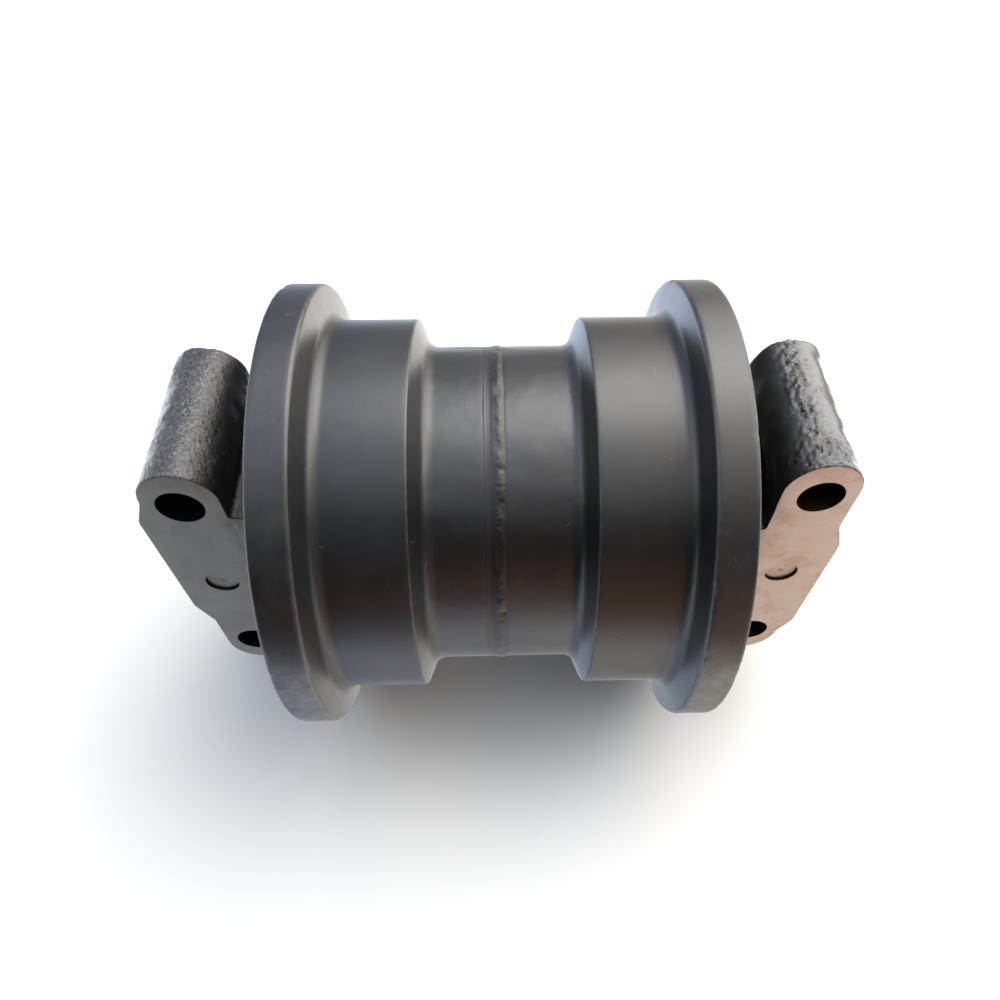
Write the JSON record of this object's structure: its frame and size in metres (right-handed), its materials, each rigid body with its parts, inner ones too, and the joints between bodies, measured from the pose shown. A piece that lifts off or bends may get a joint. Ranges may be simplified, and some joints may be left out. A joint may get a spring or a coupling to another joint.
{
  "type": "track roller",
  "caption": "Double-flanged track roller for a crawler undercarriage: a turning shell on a fixed shaft between two cast end collars with bolted faces.",
  "frame": {"origin": "on the spin axis, midway between the two treads", "axes": "+Y along the spin axis towards the collar with the oil plug, +X out of the bolted faces (towards the track frame), +Z completes the right-handed frame, from the lower to the upper bolt row as the roller lies on a bench"},
  "size_m": [0.188, 0.272, 0.188],
  "materials": {
    "roller_paint": "satin dark charcoal paint on forged and turned steel, worn to bright steel on the flange rims",
    "weld": "rippled weld metal under the same dark paint",
    "collar_casting": "as-cast surface under gloss black paint, bolted faces machined bare",
    "shaft_steel": "ground and induction-hardened steel",
    "pin_steel": "turned steel with light rust",
    "bushing_bronze": "bronze bearing layer",
    "seal_iron": "hard cast iron with a lapped face",
    "seal_rubber": "matt black nitrile rubber",
    "plug_steel": "dark zinc-plated steel"
  },
  "bodies": {
    "axle_frame": {"seal_ring_fixed_right": "seal_iron", "seal_ring_fixed_left": "seal_iron", "toric_ring_fixed_right": "seal_rubber", "toric_ring_fixed_left": "seal_rubber", "shaft": "shaft_steel", "shaft_oring_right": "seal_rubber", "shaft_oring_left": "seal_rubber", "collar_right": "collar_casting", "collar_left": "collar_casting", "lock_pin_right": "pin_steel", "lock_pin_left": "pin_steel", "oil_plug": "plug_steel"},
    "roller": {"shell_half_right": "roller_paint", "shell_half_left": "roller_paint", "weld_bead": "weld", "bushing_right": "bushing_bronze", "bushing_left": "bushing_bronze", "seal_ring_rotating_right": "seal_iron", "seal_ring_rotating_left": "seal_iron", "toric_ring_rotating_right": "seal_rubber", "toric_ring_rotating_left": "seal_rubber"}
  },
  "joints": [
    {"name": "roller_spin", "type": "hinge", "parent": "axle_frame", "child": "roller", "pos_m": [0, 0, 0], "axis": [0, 1, 0], "continuous": true}
  ]
}
